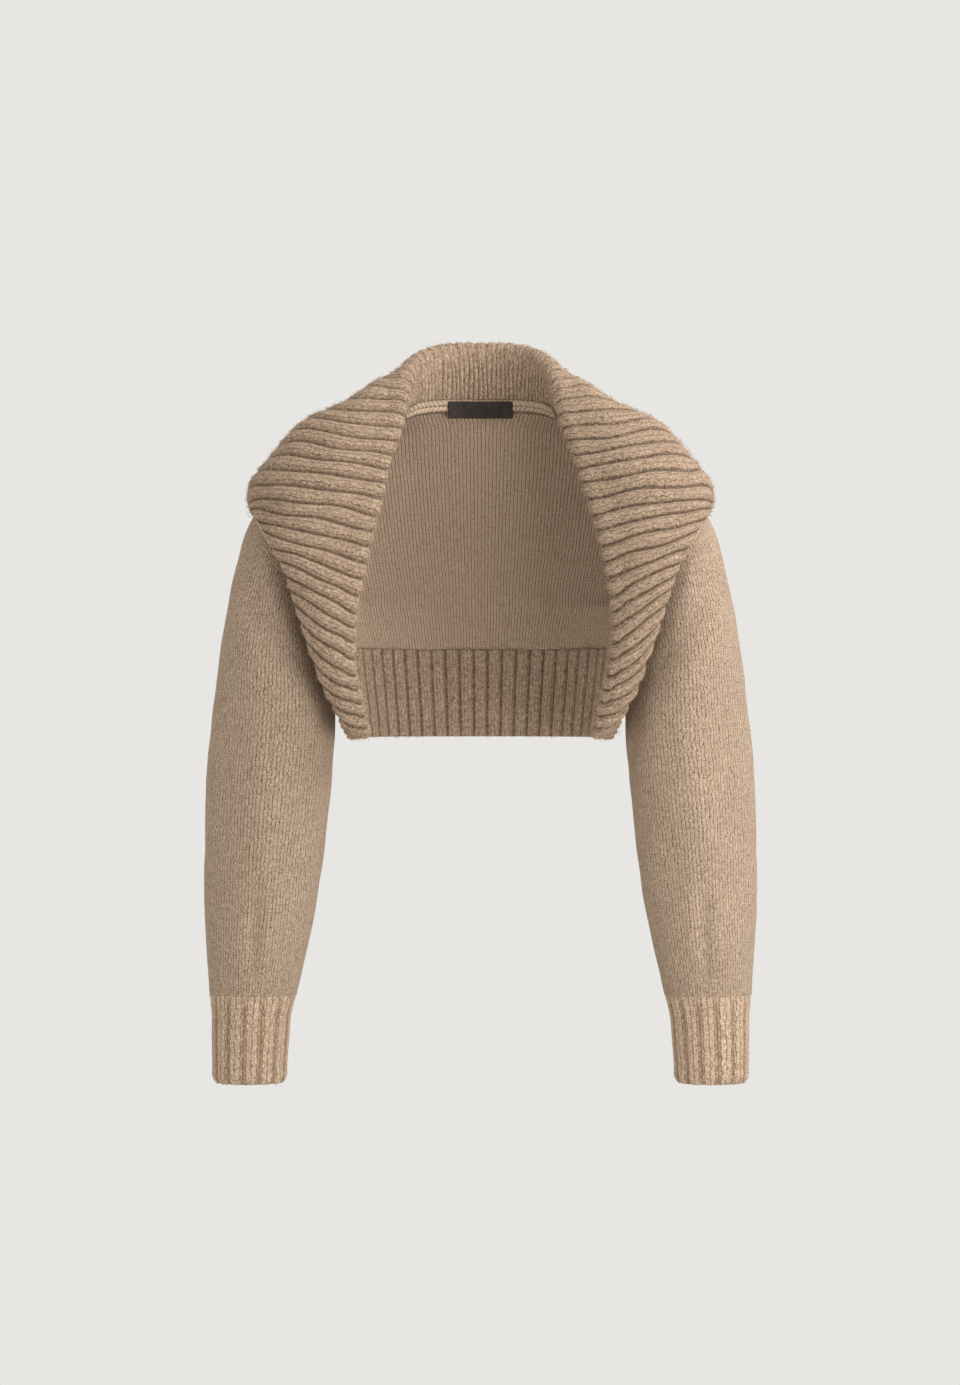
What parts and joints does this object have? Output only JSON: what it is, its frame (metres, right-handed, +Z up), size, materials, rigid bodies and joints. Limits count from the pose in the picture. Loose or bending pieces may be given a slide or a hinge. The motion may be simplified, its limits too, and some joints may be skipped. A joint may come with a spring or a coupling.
{
  "type": "knit shrug",
  "caption": "Cropped long-sleeved knit shrug with a wide ribbed collar folded over the shoulders, open at the front, with rib hem band and cuffs.",
  "frame": {"origin": "the nape: the middle of the back neck seam, where the shrug hangs from its wearer", "axes": "+X to the wearer's left, -Y to the front, +Z up"},
  "size_m": [0.5536, 0.2152, 0.7442],
  "materials": {
    "collar_rib": "fuzzy camel rib knit",
    "back_knit": "fuzzy camel plain knit",
    "front_left_knit": "fuzzy camel plain knit",
    "front_right_knit": "fuzzy camel plain knit",
    "sleeve_left_knit": "fuzzy camel plain knit",
    "sleeve_right_knit": "fuzzy camel plain knit",
    "cuff_left_rib": "fuzzy camel rib knit",
    "cuff_right_rib": "fuzzy camel rib knit",
    "hem_rib": "fuzzy camel rib knit",
    "tape_chain": "camel chain stitch band",
    "label_weave": "smooth dark brown woven label, bare"
  },
  "bodies": {
    "root": {"collar": "collar_rib", "back": "back_knit", "front_left": "front_left_knit", "front_right": "front_right_knit", "sleeve_left": "sleeve_left_knit", "sleeve_right": "sleeve_right_knit", "cuff_left": "cuff_left_rib", "cuff_right": "cuff_right_rib", "hem_band": "hem_rib", "neck_tape": "tape_chain", "label": "label_weave"}
  },
  "joints": []
}
